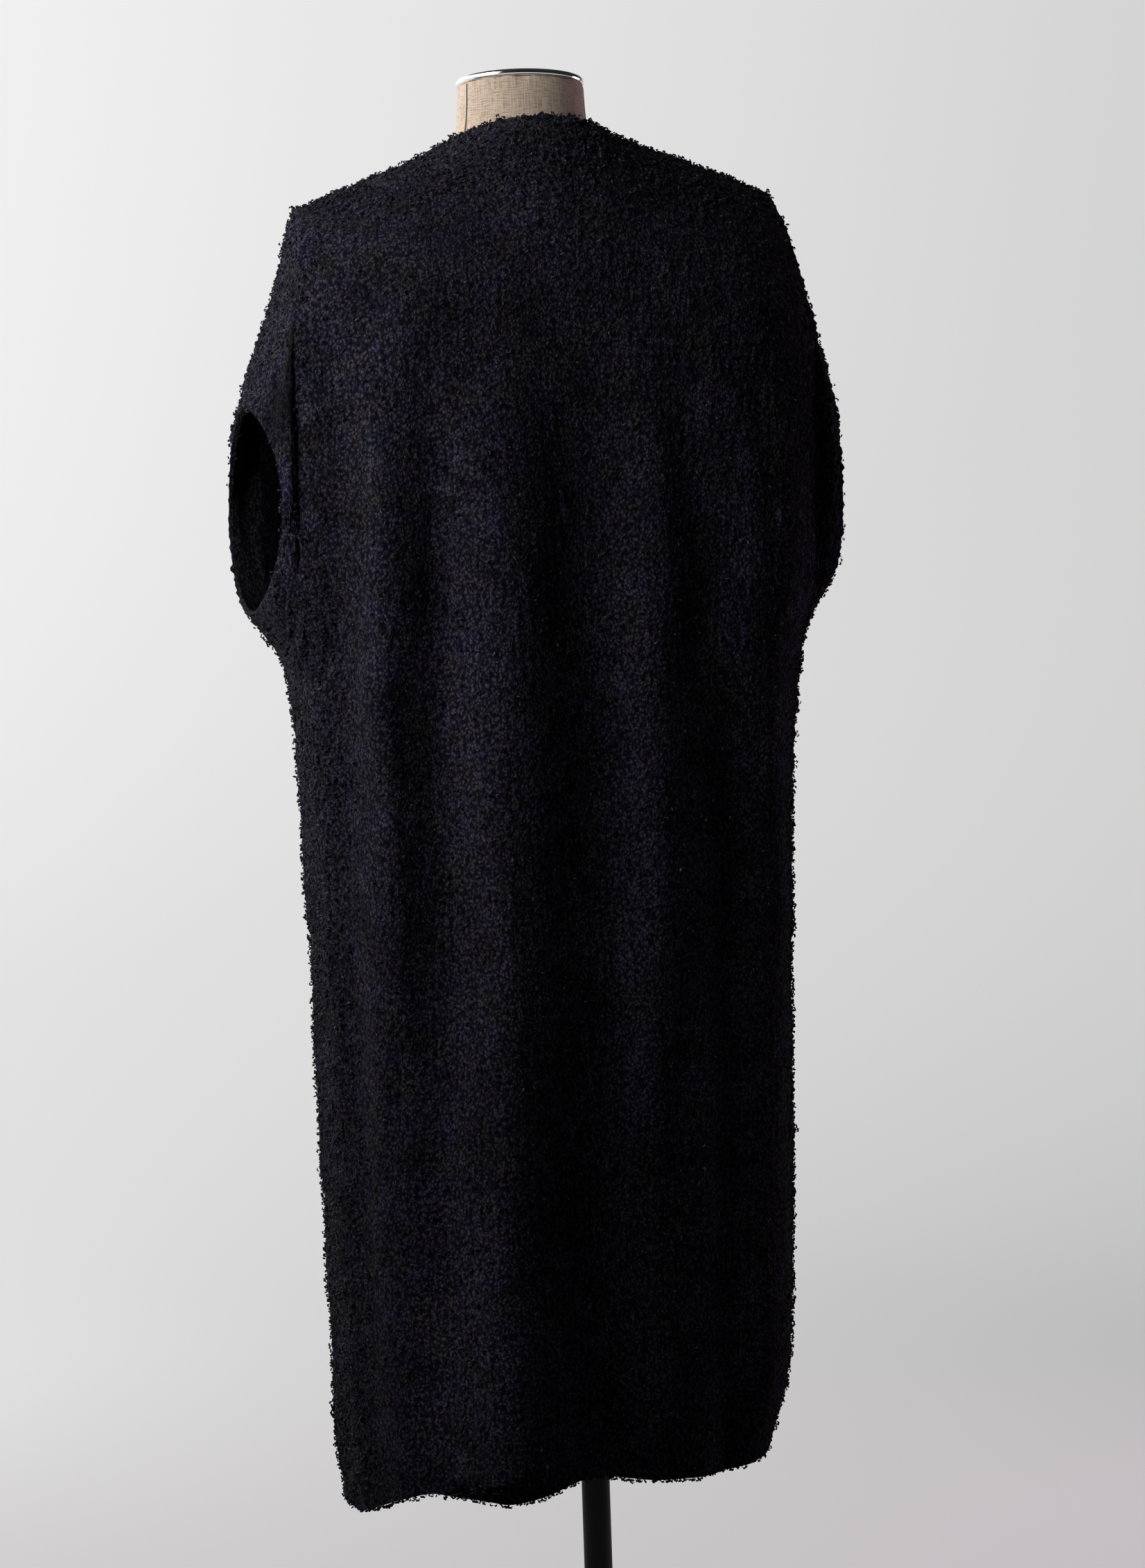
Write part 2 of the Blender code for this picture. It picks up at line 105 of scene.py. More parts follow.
def markSharpEdges(piece, angle, crease):
    # Makes quads again, and keeps the edges that are sharper than the angle when the piece is subdivided.
    while piece.data.uv_layers:
        piece.data.uv_layers.remove(piece.data.uv_layers[0])
    pick(piece)
    bpy.ops.object.mode_set(mode="EDIT")
    bpy.ops.mesh.select_all(action="SELECT")
    bpy.ops.mesh.tris_convert_to_quads(face_threshold=math.radians(60), shape_threshold=math.radians(100))
    bpy.ops.mesh.select_all(action="DESELECT")
    bpy.ops.mesh.select_mode(type="EDGE")
    bpy.ops.mesh.edges_select_sharp(sharpness=math.radians(angle))
    bpy.ops.transform.edge_crease(value=crease)
    bpy.ops.object.mode_set(mode="OBJECT")


def applyModifier(piece, kind, **values):
    pick(piece)
    modifier = piece.modifiers.new(kind.title(), kind)
    for key, value in values.items():
        setattr(modifier, key, value)
    bpy.ops.object.modifier_apply(modifier=modifier.name)


def vertexArray(mesh, what="co"):
    values = np.empty(len(mesh.vertices) * 3)
    if what == "co":
        mesh.vertices.foreach_get("co", values)
    else:
        mesh.vertex_normals.foreach_get("vector", values)
    return values.reshape(-1, 3)


def ease(share):
    share = np.clip(share, 0.0, 1.0)
    return share * share * (3 - 2 * share)


# ---- materials ----
def newMaterial(name, colour, roughness, metallic=0.0):
    material = bpy.data.materials.new(name)
    material.use_nodes = True
    nodes = material.node_tree.nodes
    shader = nodes["Principled BSDF"]
    shader.inputs["Base Color"].default_value = (*colour, 1.0)
    shader.inputs["Roughness"].default_value = roughness
    shader.inputs["Metallic"].default_value = metallic
    return material, nodes, shader


def plug(socket, source):
    # A source is another node's output, which is linked, or a fixed value.
    if isinstance(source, bpy.types.NodeSocket):
        socket.id_data.links.new(source, socket)
    else:
        socket.default_value = source


def addNode(nodes, kind, *sources, **values):
    node = nodes.new(kind)
    for key, value in values.items():
        if key in node.inputs:
            plug(node.inputs[key], value)
        else:
            setattr(node, key, value)
    for socket, source in zip(node.inputs, sources):
        plug(socket, source)
    return node


def addMath(nodes, operation, *sources):
    return addNode(nodes, "ShaderNodeMath", *sources, operation=operation).outputs["Value"]


def addVectorMath(nodes, operation, *sources, output="Vector"):
    return addNode(nodes, "ShaderNodeVectorMath", *sources, operation=operation).outputs[output]


def addNoise(nodes, place, scale, detail=2.0, roughness=0.6, distortion=0.0):
    return addNode(nodes, "ShaderNodeTexNoise", Vector=place, Scale=scale, Detail=detail, Roughness=roughness,
                   Distortion=distortion)


def addRamp(nodes, source, stops):
    node = addNode(nodes, "ShaderNodeValToRGB", source)
    elements = node.color_ramp.elements
    while len(elements) < len(stops):
        elements.new(0.5)
    for element, (place, colour) in zip(elements, stops):
        element.position = place
        element.color = (*colour, 1.0)
    return node.outputs["Color"]


def addBump(nodes, shader, height, strength, distance):
    bump = addNode(nodes, "ShaderNodeBump", Strength=strength, Distance=distance, Height=height)
    plug(shader.inputs["Normal"], bump.outputs["Normal"])


knitLook = {
    # The valleys between the curls get painted shade and the crests painted highlights; the yarn's lightest
    # curls take the crest colour too.
    "valley": (0.0048, 0.0041, 0.0078),
    "body": (0.0213, 0.0190, 0.0300),
    "crest": (0.0720, 0.0690, 0.0830),
    "shaded": (0.0120, 0.0108, 0.0170),  # the darkest single curls
    "curlSize": 0.0025,
    "curlSquash": 0.72,  # below 1 the curls are taller than wide
    "curlShake": 0.006,
    "curlProfile": ((0.25, 0.80), (0.50, 0.38), (0.75, 0.10)),  # from a curl's middle out to its edge, which gets painted shade
    "fibres": 0.95,
    "waleStep": 0.0070,
    "wales": 0.05,  # faint upright ribs that follow the knit round the body
    "contrast": 0.56,
    "patches": ((0.62, 0.62, 0.62), (1.25, 1.25, 1.30)),
    "driftFrom": (0.82, 0.84, 0.35),  # the dye drifts a little between violet and grey
    "driftBy": (0.36, 0.32, 1.30),
    "relief": 0.0007,
    "sheen": 0.042,
    "sheenRoughness": 0.5,
    "sheenTint": (0.82, 0.88, 0.84),
}


def addSheen(shader, specular):
    shader.inputs["Specular IOR Level"].default_value = specular
    shader.inputs["Sheen Weight"].default_value = knitLook["sheen"]
    shader.inputs["Sheen Roughness"].default_value = knitLook["sheenRoughness"]
    shader.inputs["Sheen Tint"].default_value = (*knitLook["sheenTint"], 1.0)


def addCurlPattern(nodes, place):
    # Each cell is one curl with a soft edge, low in the bump and painted shade in the colour.
    wobble = addNoise(nodes, place, 140.0)
    reach = (knitLook["curlShake"],) * 3
    shaken = addVectorMath(nodes, "MULTIPLY_ADD", wobble.outputs["Color"], reach, place)
    upright = addNode(nodes, "ShaderNodeMapping", Vector=shaken, Scale=(1.0, 1.0, knitLook["curlSquash"]))
    cells = addNode(nodes, "ShaderNodeTexVoronoi", Vector=upright.outputs["Vector"],
                    Scale=1 / knitLook["curlSize"], Randomness=1.0)
    profile = addNode(nodes, "ShaderNodeFloatCurve", Value=cells.outputs["Distance"])
    curve = profile.mapping.curves[0]
    curve.points[0].location = (0.0, 1.0)
    curve.points[1].location = (1.0, 0.0)
    for point in knitLook["curlProfile"]:
        curve.points.new(*point)
    profile.mapping.update()
    return profile.outputs["Value"]


def makeKnitMaterial():
    look = knitLook
    material, nodes, shader = newMaterial("boucleKnit", look["body"], 0.92)
    place = nodes.new("ShaderNodeTexCoord").outputs["Object"]
    curls = addCurlPattern(nodes, place)
    fibres = addNoise(nodes, place, 850.0, roughness=0.7, distortion=0.8)
    height = addMath(nodes, "MULTIPLY_ADD", fibres.outputs["Fac"], look["fibres"], curls)
    unwrap = addNode(nodes, "ShaderNodeUVMap", uv_map="knitMap")
    split = addNode(nodes, "ShaderNodeSeparateXYZ", unwrap.outputs["UV"])
    turns = addMath(nodes, "MULTIPLY", split.outputs["X"], 2 * math.pi / look["waleStep"])
    height = addMath(nodes, "MULTIPLY_ADD", addMath(nodes, "SINE", turns), look["wales"], height)
    # Painted shade in the valleys between the curls, painted highlights on their crests.
    colour = addRamp(nodes, addMath(nodes, "MULTIPLY", height, look["contrast"]),
                     [(0.30, look["valley"]), (0.56, look["body"]), (0.88, look["crest"])])
    patches = addNoise(nodes, place, 28.0, detail=3.0)
    patchTone = addRamp(nodes, patches.outputs["Fac"], list(zip((0.30, 0.72), look["patches"])))
    drift = addNoise(nodes, place, 42.0)
    hue = addVectorMath(nodes, "MULTIPLY_ADD", drift.outputs["Color"], look["driftBy"], look["driftFrom"])
    # painted light and painted shade, from the panel's tone attribute
    paintedTone = addNode(nodes, "ShaderNodeAttribute", attribute_name="paintedLightAndShade").outputs["Vector"]
    for tone in (patchTone, hue, paintedTone):
        colour = addVectorMath(nodes, "MULTIPLY", colour, tone)
    plug(shader.inputs["Base Color"], colour)
    addBump(nodes, shader, height, 1.0, look["relief"])
    addSheen(shader, 0.0)
    return material


def makeYarnMaterial():
    look = knitLook
    material, nodes, shader = newMaterial("boucleYarn", look["body"], 0.78)
    tone = addNode(nodes, "ShaderNodeAttribute", attribute_name="yarnTone").outputs["Fac"]
    plug(shader.inputs["Base Color"],
         addRamp(nodes, tone, [(0.0, look["shaded"]), (0.6, look["body"]), (1.0, look["crest"])]))
    place = nodes.new("ShaderNodeTexCoord").outputs["Object"]
    addBump(nodes, shader, addNoise(nodes, place, 1100.0).outputs["Fac"], 0.5, 0.0006)
    addSheen(shader, 0.02)
    return material


linenLook = {
    "slub": (0.36, 0.255, 0.180),
    "warp": (0.56, 0.42, 0.315),
    "bright": (0.68, 0.54, 0.42),
    "threadStep": 0.0011,
    "slubStretch": ((60.0, 900.0, 60.0), (700.0, 55.0, 60.0)),  # thick threads along the weft and the warp
}


def makeLinenMaterial():
    look = linenLook
    material, nodes, shader = newMaterial("linenCover", look["warp"], 0.9)
    unwrap = addNode(nodes, "ShaderNodeUVMap", uv_map="coverMap").outputs["UV"]
    split = addNode(nodes, "ShaderNodeSeparateXYZ", unwrap)
    waves = []
    for axis in ("X", "Y"):
        turns = addMath(nodes, "MULTIPLY", split.outputs[axis], 2 * math.pi / look["threadStep"])
        waves.append(addMath(nodes, "SINE", turns))
    weave = addMath(nodes, "MULTIPLY", *waves)
    slubs = []
    for stretch in look["slubStretch"]:
        mapping = addNode(nodes, "ShaderNodeMapping", Vector=unwrap, Scale=stretch)
        slubs.append(addNoise(nodes, mapping.outputs["Vector"], 1.0, detail=3.0).outputs["Fac"])
    slub = addMath(nodes, "ADD", *slubs)
    plug(shader.inputs["Base Color"],
         addRamp(nodes, slub, [(0.72, look["slub"]), (1.0, look["warp"]), (1.0, look["bright"])]))
    addBump(nodes, shader, addMath(nodes, "MULTIPLY_ADD", weave, 0.35, slub), 0.6, 0.0006)
    shader.inputs["Sheen Weight"].default_value = 0.15
    return material


def makeMetalMaterial(name, colour, roughness, metallic, grain, lift):
    material, nodes, shader = newMaterial(name, colour, roughness, metallic)
    place = nodes.new("ShaderNodeTexCoord").outputs["Object"]
    speckle = addNoise(nodes, place, grain, detail=3.0).outputs["Fac"]
    plug(shader.inputs["Roughness"],
         addRamp(nodes, speckle, [(0.3, (roughness * 0.8,) * 3), (0.7, (roughness * 1.3,) * 3)]))
    addBump(nodes, shader, speckle, 0.3, lift)
    return material


# ---- knitted panels ----
# Soft creases listed in metres. Each runs from (across, height) to (across, height).
# across is X from the garment's middle on the back and fronts, and Y from the seams on the sleeves.
creases = {
    "back_panel": {
        "fromAcross": [0.207, 0.188, 0.115, 0.216, 0.182, 0.158, 0.062, 0.088, 0.025, -0.085, -0.052, -0.110,
                       -0.164, -0.170, -0.090, 0.104, 0.111, -0.140],
        "fromHeight": [1.060, 0.800, 0.500, 1.340, 1.060, 1.340, 1.480, 0.940, 1.280, 1.310, 1.060, 1.400,
                       1.300, 0.980, 0.700, 0.720, 0.740, 0.560],
        "toAcross": [0.206, 0.180, 0.115, 0.214, 0.182, 0.156, 0.062, 0.094, 0.025, -0.095, -0.038, -0.150,
                     -0.170, -0.180, -0.076, 0.106, 0.111, -0.150],
        "toHeight": [0.840, 0.600, 0.200, 1.000, 0.660, 1.040, 1.380, 0.500, 1.060, 0.980, 0.620, 1.260,
                     1.040, 0.760, 0.420, 0.240, 0.220, 0.380],
        "width": [0.009, 0.009, 0.036, 0.022, 0.012, 0.018, 0.055, 0.013, 0.018, 0.026, 0.024, 0.018,
                  0.014, 0.013, 0.014, 0.018, 0.040, 0.012],
        "depth": [-0.0045, -0.0030, 0.0060, -0.0100, 0.0035, 0.0026, -0.0020, 0.0032, -0.0022, -0.0085,
                  0.0075, -0.0010, -0.0035, 0.0030, 0.0012, 0.0020, 0.0140, 0.0015],
    },
    "left_front": {
        "fromAcross": [0.060, 0.110, 0.160, 0.185, 0.090, 0.140],
        "fromHeight": [1.380, 1.300, 1.180, 0.980, 0.700, 0.520],
        "toAcross": [0.100, 0.160, 0.195, 0.170, 0.080, 0.150],
        "toHeight": [1.180, 1.120, 1.060, 0.740, 0.420, 0.340],
        "width": [0.020, 0.018, 0.014, 0.014, 0.015, 0.014],
        "depth": [-0.0035, 0.0035, -0.0045, -0.0045, 0.0040, -0.0040],
    },
    "right_front": {
        "fromAcross": [-0.064, -0.100, -0.170, -0.180, -0.100, -0.150],
        "fromHeight": [1.360, 1.260, 1.160, 0.900, 0.820, 0.560],
        "toAcross": [-0.090, -0.150, -0.198, -0.176, -0.110, -0.140],
        "toHeight": [1.200, 1.100, 1.050, 0.700, 0.500, 0.360],
        "width": [0.020, 0.020, 0.014, 0.014, 0.016, 0.014],
        "depth": [-0.0030, 0.0035, -0.0045, -0.0040, 0.0040, -0.0040],
    },
    "left_sleeve": {
        "fromAcross": [0.030, 0.060, 0.066, -0.040, -0.066],
        "fromHeight": [1.380, 1.240, 1.330, 1.360, 1.200],
        "toAcross": [0.044, 0.050, 0.067, -0.056, -0.050],
        "toHeight": [1.260, 1.100, 1.200, 1.230, 1.090],
        "width": [0.014, 0.012, 0.010, 0.014, 0.012],
        "depth": [-0.0040, 0.0035, -0.0040, 0.0035, -0.0040],
    },
    "right_sleeve": {
        "fromAcross": [0.026, 0.064, -0.036, -0.060],
        "fromHeight": [1.400, 1.260, 1.340, 1.220],
        "toAcross": [0.048, 0.048, -0.060, -0.046],
        "toHeight": [1.270, 1.110, 1.240, 1.110],
        "width": [0.015, 0.012, 0.014, 0.012],
        "depth": [-0.0040, 0.0035, 0.0035, -0.0040],
    },
}

# Painted light and painted shade on the back: lighter and darker patches where more or less light falls.
# Middle, reach and how much of the tone is added.
paintedLightPatches = {
    "across": [0.130, 0.142, 0.088, -0.105, 0.222, 0.176, -0.100],
    "height": [0.370, 1.150, 1.425, 0.560, 1.170, 1.160, 1.300],
    "reachAcross": [0.048, 0.016, 0.040, 0.017, 0.016, 0.014, 0.014],
    "reachUp": [0.230, 0.140, 0.050, 0.300, 0.120, 0.120, 0.035],
    "gain": [0.65, 0.40, -0.22, 0.60, -0.28, 0.25, -0.35],
}

knit = {
    "levels": 3,
    "sharpEdge": 55.0,  # degrees: sharper edges than this, at a panel's rims, stay sharp
    "creaseBow": 0.012,  # a crease bends sideways by this at its middle
    "creaseEnds": (0.15, 0.40),  # it runs on past each end by this share, and fades over this one
    "nubSize": 0.0066,
    "nubHeight": 0.0027,
    "nubCrown": 1.6,
    "nubEvenness": 0.55,
    "nubDrift": 0.019,
    "sideNubs": 0.9,  # at the sides and on the shoulders nubs are this much higher again
    "sidesFrom": 0.60,  # the cloth counts as a side, or a shoulder, where it faces that way more than this
    "shouldersFrom": 0.35,
    "outlineBlend": 0.30,
    "liningFacing": -0.4,  # a face that points inwards more than this is lining
    "liningShare": 0.10,  # the lining keeps this share of its triangles
    "waveSize": 0.075,
    "waveHeight": 0.0022,
    "seamCalm": 0.55,
    "rimBlend": 0.5,
    "seamReach": 0.0025,  # a vertex this near another panel belongs to a seam
    "seamClosing": 0.42,  # and moves this share of the way to it
    "armholeGroove": {"left_sleeve": 0.0010, "right_sleeve": 0.0008},  # the dip beside the armhole seam
    "smoothAngle": 50.0,
}
hollow = {  # the left sleeve's valley beside the armhole seam, where shade is painted: a wide stretch and a narrow one above
    "from": (0.030, 0.060),
    "blend": (0.026, 0.018),
    "top": (1.315, 1.385),
    "topBlend": (0.050, 0.060),
    "foot": 1.215,
    "footBlend": 0.045,
    # how much painted shade the valley gets
    "paintedShade": 0.78,
    "inside": 0.35,  # the tone inside the sleeve, where light hardly gets in
    "insideLow": 0.25,  # and how much is added below this height
    "insideBelow": 1.17,
    "insideBlend": 0.06,
}
shoulderTips = {  # how far and how wide the cloth rounds off at each shoulder point
    "left_sleeve": {"drop": 0.0060, "reach": 0.022},
    "right_sleeve": {"drop": 0.0035, "reach": 0.020},
}
shoulderSlide = 0.35  # this share of the drop goes inwards
hemLift = {"across": 0.094, "width": 0.034, "height": 0.0075, "below": 0.46, "blend": 0.12}


def outlineShare(radial):
    # 1 where the cloth faces sideways or up, at the garment's outline.
    sideways = ease((np.abs(radial[:, 0]) - knit["sidesFrom"]) / knit["outlineBlend"])
    upwards = ease((radial[:, 2] - knit["shouldersFrom"]) / knit["outlineBlend"])
    return np.maximum(sideways, upwards)


def creaseDepth(rows, across, height):
    total = np.zeros(len(across))
    overrun, fadeShare = knit["creaseEnds"]
    for fromX, fromZ, toX, toZ, width, depth in zip(*rows.values()):
        stepX, stepZ = toX - fromX, toZ - fromZ
        length = math.hypot(stepX, stepZ)
        share = ((across - fromX) * stepX + (height - fromZ) * stepZ) / length**2
        bow = knit["creaseBow"] * np.sin(math.pi * np.clip(share, 0, 1))
        off = ((across - fromX) * stepZ - (height - fromZ) * stepX) / length - bow
        fade = ease((share + overrun) / fadeShare) * ease((1 + overrun - share) / fadeShare)
        total += depth * fade * np.exp(-(off / width) ** 2)
    return total


def outwardFrom(points):
    reference = np.empty_like(points)
    half = garment["coreHalfWidth"]
    reference[:, 0] = np.clip(points[:, 0] - garment["middleX"], -half, half) + garment["middleX"]
    reference[:, 1] = garment["seamY"]
    reference[:, 2] = np.minimum(points[:, 2], garment["coreTop"])
    return points - reference


def sleeveOutward(points):
    reference = points.copy()
    reference[:, 1] = garment["seamY"]
    reference[:, 2] = np.clip(points[:, 2], *garment["sleeveCore"])
    return points - reference


def unitRows(vectors):
    return vectors / np.linalg.norm(vectors, axis=1, keepdims=True)


def knitPlace(points):
    # How far round the body and up the cloth each point lies, for the wales.
    x = points[:, 0] - garment["middleX"]
    y = points[:, 1] - garment["seamY"]
    roundStart = garment["ridgeAtNeck"] - garment["ridgeFall"] * np.abs(x) - garment["shoulderTurn"]
    turned = np.clip((points[:, 2] - roundStart) / garment["shoulderTurn"], 0.0, 0.995)
    y = y / np.sqrt(1 - turned**2)
    quarter = np.linspace(0, math.pi / 2, 60)
    power = 2 / garment["squareness"]
    sampleX = garment["halfWidth"] * np.sin(quarter) ** power
    sampleY = garment["halfDepth"] * np.cos(quarter) ** power
    run = np.concatenate([[0.0], np.cumsum(np.hypot(np.diff(sampleX), np.diff(sampleY)))])
    angle = np.arctan2(np.abs(x), np.abs(y))
    around = np.interp(angle, np.arctan2(sampleX, sampleY), run) * np.sign(x)
    up = points[:, 2] + garment["shoulderRadius"] * np.arcsin(turned) - garment["shoulderTurn"] * turned
    return around, up


def addMap(piece, name, around, up):
    # An unwrapping in metres: how far round and how far up each point lies.
    mesh = piece.data
    layer = mesh.uv_layers.new(name=name)
    corners = np.empty(len(mesh.loops), dtype=np.int32)
    mesh.loops.foreach_get("vertex_index", corners)
    layer.data.foreach_set("uv", np.column_stack([around[corners], up[corners]]).ravel())


def holdSeams(piece, nodeName):
    # Brings seam edges together and keeps them there when the panel is subdivided.
    mesh = piece.data
    others = np.concatenate([vertexArray(bpy.data.objects[other].data) for other in creases
                             if other != nodeName])
    tree = kdtree.KDTree(len(others))
    for index, point in enumerate(others):
        tree.insert(point, index)
    tree.balance()
    points = vertexArray(mesh)
    onSeam = np.zeros(len(points), dtype=bool)
    for index, point in enumerate(points):
        nearest, _, distance = tree.find(point)
        if distance < knit["seamReach"]:
            onSeam[index] = True
            points[index] = point + (np.array(nearest) - point) * knit["seamClosing"]
    mesh.vertices.foreach_set("co", points.ravel())
    ends = np.empty(len(mesh.edges) * 2, dtype=np.int32)
    mesh.edges.foreach_get("vertices", ends)
    seamEdges = onSeam[ends.reshape(-1, 2)].all(axis=1)
    creased = mesh.attributes.get("crease_edge") or mesh.attributes.new("crease_edge", "FLOAT", "EDGE")
    amounts = np.empty(len(mesh.edges))
    creased.data.foreach_get("value", amounts)
    creased.data.foreach_set("value", np.where(seamEdges, 1.0, amounts))
    for name in ("crease_vert", "seamShare"):
        mesh.attributes.new(name, "FLOAT", "POINT").data.foreach_set("value", onSeam.astype(float))
    return np.flatnonzero(onSeam).tolist()


def nubShape(point):
    # 0 in the creases between nubs and about 1 on top of one.
    near = noise.voronoi(Vector(point) / knit["nubSize"])[0]
    drift = noise.noise(Vector(point) / knit["nubDrift"])
    even = knit["nubEvenness"]
    return min(1.0, (near[1] - near[0]) * knit["nubCrown"]) * (even + (1 - even) * drift)


def aboveHollowFoot(height):
    return ease((height - hollow["foot"]) / hollow["footBlend"])


def hollowShare(across, height):
    # 1 in the valley of the left sleeve, where shade is painted and few curls stand.
    rows = zip(hollow["from"], hollow["blend"], hollow["top"], hollow["topBlend"])
    stretches = [ease((across - start) / blend) * ease((top - height) / topBlend)
                 for start, blend, top, topBlend in rows]
    return np.maximum(*stretches) * aboveHollowFoot(height)


def paintedLightAndShade(nodeName, across, height, inside):
    # 1 is the plain tone of the yarn; above it is painted light, below it painted shade.
    tone = np.ones(len(across))
    if nodeName == "back_panel":
        for middle, level, reach, rise, gain in zip(*paintedLightPatches.values()):
            tone += gain * np.exp(-((across - middle) / reach) ** 2 - ((height - level) / rise) ** 4)
    elif nodeName == "left_sleeve":
        # Painted shade: in the valley, and inside the sleeve where light hardly gets in, a little lighter low
        # down.
        tone -= hollow["paintedShade"] * hollowShare(across, height)
        low = ease((hollow["insideBelow"] - height[inside]) / hollow["insideBlend"])
        tone[inside] = hollow["inside"] + hollow["insideLow"] * low
    return tone


def thinLining(piece, isSleeve):
    mesh = piece.data
    centres = np.empty(len(mesh.polygons) * 3)
    normals = np.empty(len(mesh.polygons) * 3)
    mesh.polygons.foreach_get("center", centres)
    mesh.polygons.foreach_get("normal", normals)
    centres, normals = centres.reshape(-1, 3), normals.reshape(-1, 3)
    outward = sleeveOutward(centres) if isSleeve else outwardFrom(centres)
    inner = np.einsum("ij,ij->i", normals, unitRows(outward)) < knit["liningFacing"]
    pick(piece)
    bpy.ops.object.mode_set(mode="EDIT")
    bpy.ops.mesh.select_mode(type="FACE")
    bpy.ops.mesh.select_all(action="DESELECT")
    bpy.ops.object.mode_set(mode="OBJECT")
    mesh.polygons.foreach_set("select", inner)
    bpy.ops.object.mode_set(mode="EDIT")
    bpy.ops.mesh.select_less()
    bpy.ops.mesh.decimate(ratio=knit["liningShare"])
    bpy.ops.object.mode_set(mode="OBJECT")


def roundShoulders(points):
    # The same field for every panel, so seams stay together.
    for nodeName, tip in shoulderTips.items():
        low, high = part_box(nodeName)
        tipX = low[0] if nodeName.startswith("left") else high[0]
        inward = -1 if nodeName.startswith("left") else 1
        away = np.hypot(points[:, 0] - tipX, points[:, 2] - high[2])
        drop = tip["drop"] * np.exp(-(away / tip["reach"]) ** 2)
        points[:, 0] += inward * shoulderSlide * drop
        points[:, 2] -= drop


def knitPanel(nodeName, name, material):
    piece = copyOfNode(nodeName, name)
    markSharpEdges(piece, knit["sharpEdge"], 1.0)
    rim = piece.vertex_groups.new(name="rim")
    chosen = np.zeros(len(piece.data.edges), dtype=bool)
    piece.data.edges.foreach_get("select", chosen)
    ends = np.empty(len(piece.data.edges) * 2, dtype=np.int32)
    piece.data.edges.foreach_get("vertices", ends)
    rim.add(np.unique(ends.reshape(-1, 2)[chosen]).tolist(), 1.0, "REPLACE")
    rim.add(holdSeams(piece, nodeName), 1.0, "REPLACE")
    applyModifier(piece, "SUBSURF", levels=knit["levels"], render_levels=knit["levels"])
    mesh = piece.data
    points = vertexArray(mesh)
    normals = vertexArray(mesh, "normal")
    isSleeve = nodeName.endswith("sleeve")
    outward = sleeveOutward(points) if isSleeve else outwardFrom(points)
    facing = np.sign(np.einsum("ij,ij->i", normals, outward))
    direction = normals * facing[:, None]
    rimShare = np.array([vertex.groups[0].weight if vertex.groups else 0.0 for vertex in mesh.vertices])
    calm = ease((1 - rimShare) / knit["seamCalm"])
    across = points[:, 1] - garment["seamY"] if isSleeve else points[:, 0] - garment["middleX"]
    moved = creaseDepth(creases[nodeName], across, points[:, 2])
    wave = np.array([noise.noise(Vector(point) / knit["waveSize"]) for point in points])
    moved += wave * knit["waveHeight"]
    moved *= calm
    if isSleeve:
        besideSeam = np.empty(len(points))
        mesh.attributes["seamShare"].data.foreach_get("value", besideSeam)
        dip = 4 * besideSeam * (1 - besideSeam) * aboveHollowFoot(points[:, 2])
        moved -= knit["armholeGroove"][nodeName] * dip
    # painted light and painted shade, kept on each vertex
    tone = paintedLightAndShade(nodeName, across, points[:, 2], facing < 0)
    mesh.attributes.new("paintedLightAndShade", "FLOAT", "POINT").data.foreach_set("value", tone)
    points = points + direction * moved[:, None]
    roundShoulders(points)
    if nodeName == "back_panel":
        low = ease((hemLift["below"] - points[:, 2]) / hemLift["blend"])
        arch = np.exp(-((across - hemLift["across"]) / hemLift["width"]) ** 2)
        points[:, 2] += hemLift["height"] * arch * low
    # Nubs: rounded knots of curls. At an edge they stand out from the body, the same way on both panels.
    radial = unitRows(outwardFrom(points))
    atEdge = ease(rimShare / knit["rimBlend"])[:, None]
    direction = direction * (1 - atEdge) + radial * atEdge
    outside = facing > 0
    nub = np.zeros(len(points))
    nub[outside] = [nubShape(point) for point in points[outside]]
    nub *= knit["nubHeight"] * (1 + knit["sideNubs"] * outlineShare(radial))
    mesh.vertices.foreach_set("co", (points + direction * nub[:, None]).ravel())
    mesh.update()
    thinLining(piece, isSleeve)
    addMap(piece, "knitMap", *knitPlace(vertexArray(mesh)))
    pick(piece)
    bpy.ops.object.shade_smooth_by_angle(angle=math.radians(knit["smoothAngle"]))
    mesh.materials.append(material)
    piece.vertex_groups.clear()
    return piece


# ---- boucle curls ----
curl = {
    "pathSteps": 4,
    "sides": 3,
    "radius": (0.0010, 0.0019),
    "yarn": (0.00044, 0.00070),
    "yarnEnds": 0.25,  # the ends have this share of the yarn's thickness
    "span": (2.6, 4.4),  # radians of a full turn
    "turn": 0.6,
    "tilt": (0.05, 0.80),
    "sink": 0.0005,
    "rise": 0.75,  # a tilted curl's middle stands up by this share of its height
    "standing": 0.12,  # this share stands up as thick knots
    "standingAtOutline": 0.65,  # and this share at the sides, on the shoulders and at free edges
    "standingRadius": (0.0009, 0.0019),
    "standingYarn": (0.00070, 0.00115),
    "standingTilt": (0.60, 1.50),
    "clusterSize": 0.012,
    "clusterHeight": 0.0009,
    "clusterGain": 1.6,
    "darkShare": 1.6,  # above 1 more curls are dark than light
    # the painted light and shade of the cloth beneath carries over to a curl by this share
    "paintedToneShare": 0.5,
    "rimFacing": 0.35,  # faces that lean outwards less than this are a panel's rim
    "seamLimit": 0.98,  # a face whose corners all belong to a seam more than this lies inside it
    "edgeBoost": 13.0,  # free edges carry this many times more curls
    "outlineBoost": 2.8,  # and the sides and shoulders this many times more
}


